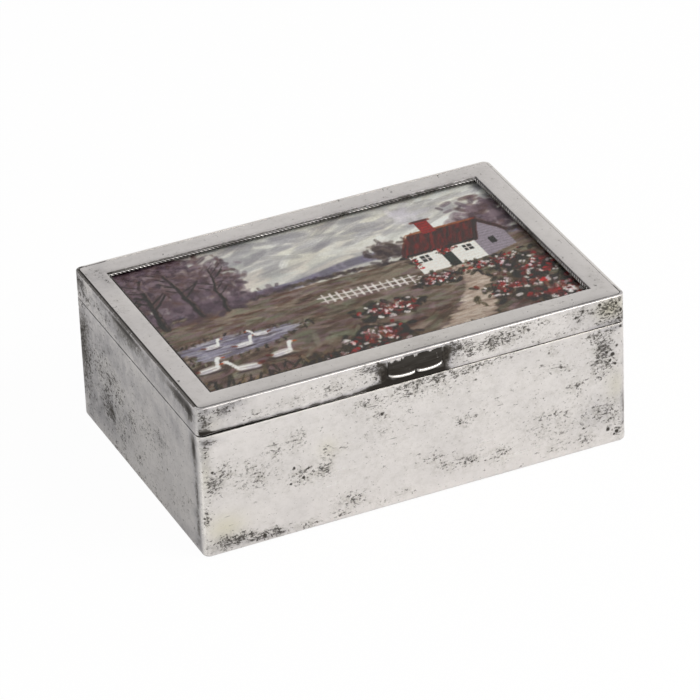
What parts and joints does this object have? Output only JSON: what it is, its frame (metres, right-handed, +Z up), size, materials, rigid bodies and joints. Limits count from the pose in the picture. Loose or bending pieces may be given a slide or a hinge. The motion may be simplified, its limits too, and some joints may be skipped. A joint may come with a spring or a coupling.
{
  "type": "keepsake box",
  "caption": "Low rectangular keepsake box of silver-plated sheet lined with cedar, its hinged lid framing a glazed picture, with a small scooped thumbpiece at the front.",
  "frame": {"origin": "centre of the case's plan, on the underside of the base pad where the box stands", "axes": "+X along the length to the right of the front, +Y from the front with the thumbpiece to the hinged back, +Z up"},
  "size_m": [0.14, 0.096, 0.0519],
  "materials": {
    "silver_plate": "satin",
    "cedar": "satin",
    "baize": "matte",
    "hinge_wire": "satin",
    "picture_glass": "gloss",
    "picture_print": "matte",
    "pasteboard": "matte"
  },
  "bodies": {
    "case": {"case_shell": "silver_plate", "base_pad": "baize", "case_floor": "cedar", "lining_front": "cedar", "lining_back": "cedar", "lining_left": "cedar", "lining_right": "cedar", "partition": "cedar", "hinge_channel_case": "silver_plate", "case_knuckle_1": "silver_plate", "case_knuckle_2": "silver_plate", "case_knuckle_3": "silver_plate", "hinge_pin": "hinge_wire"},
    "lid": {"lid_band": "silver_plate", "lid_frame": "silver_plate", "window_bead": "silver_plate", "picture_glass": "picture_glass", "picture_card": "picture_print", "picture_backing": "pasteboard", "lid_panel": "cedar", "thumbpiece": "silver_plate", "hinge_channel_lid": "silver_plate", "lid_knuckle_1": "silver_plate", "lid_knuckle_2": "silver_plate"}
  },
  "joints": [
    {"name": "lid_hinge", "type": "hinge", "parent": "case", "child": "lid", "pos_m": [0, 0.04605, 0.04245], "axis": [-1, 0, 0], "range_deg": [0, 100]}
  ]
}
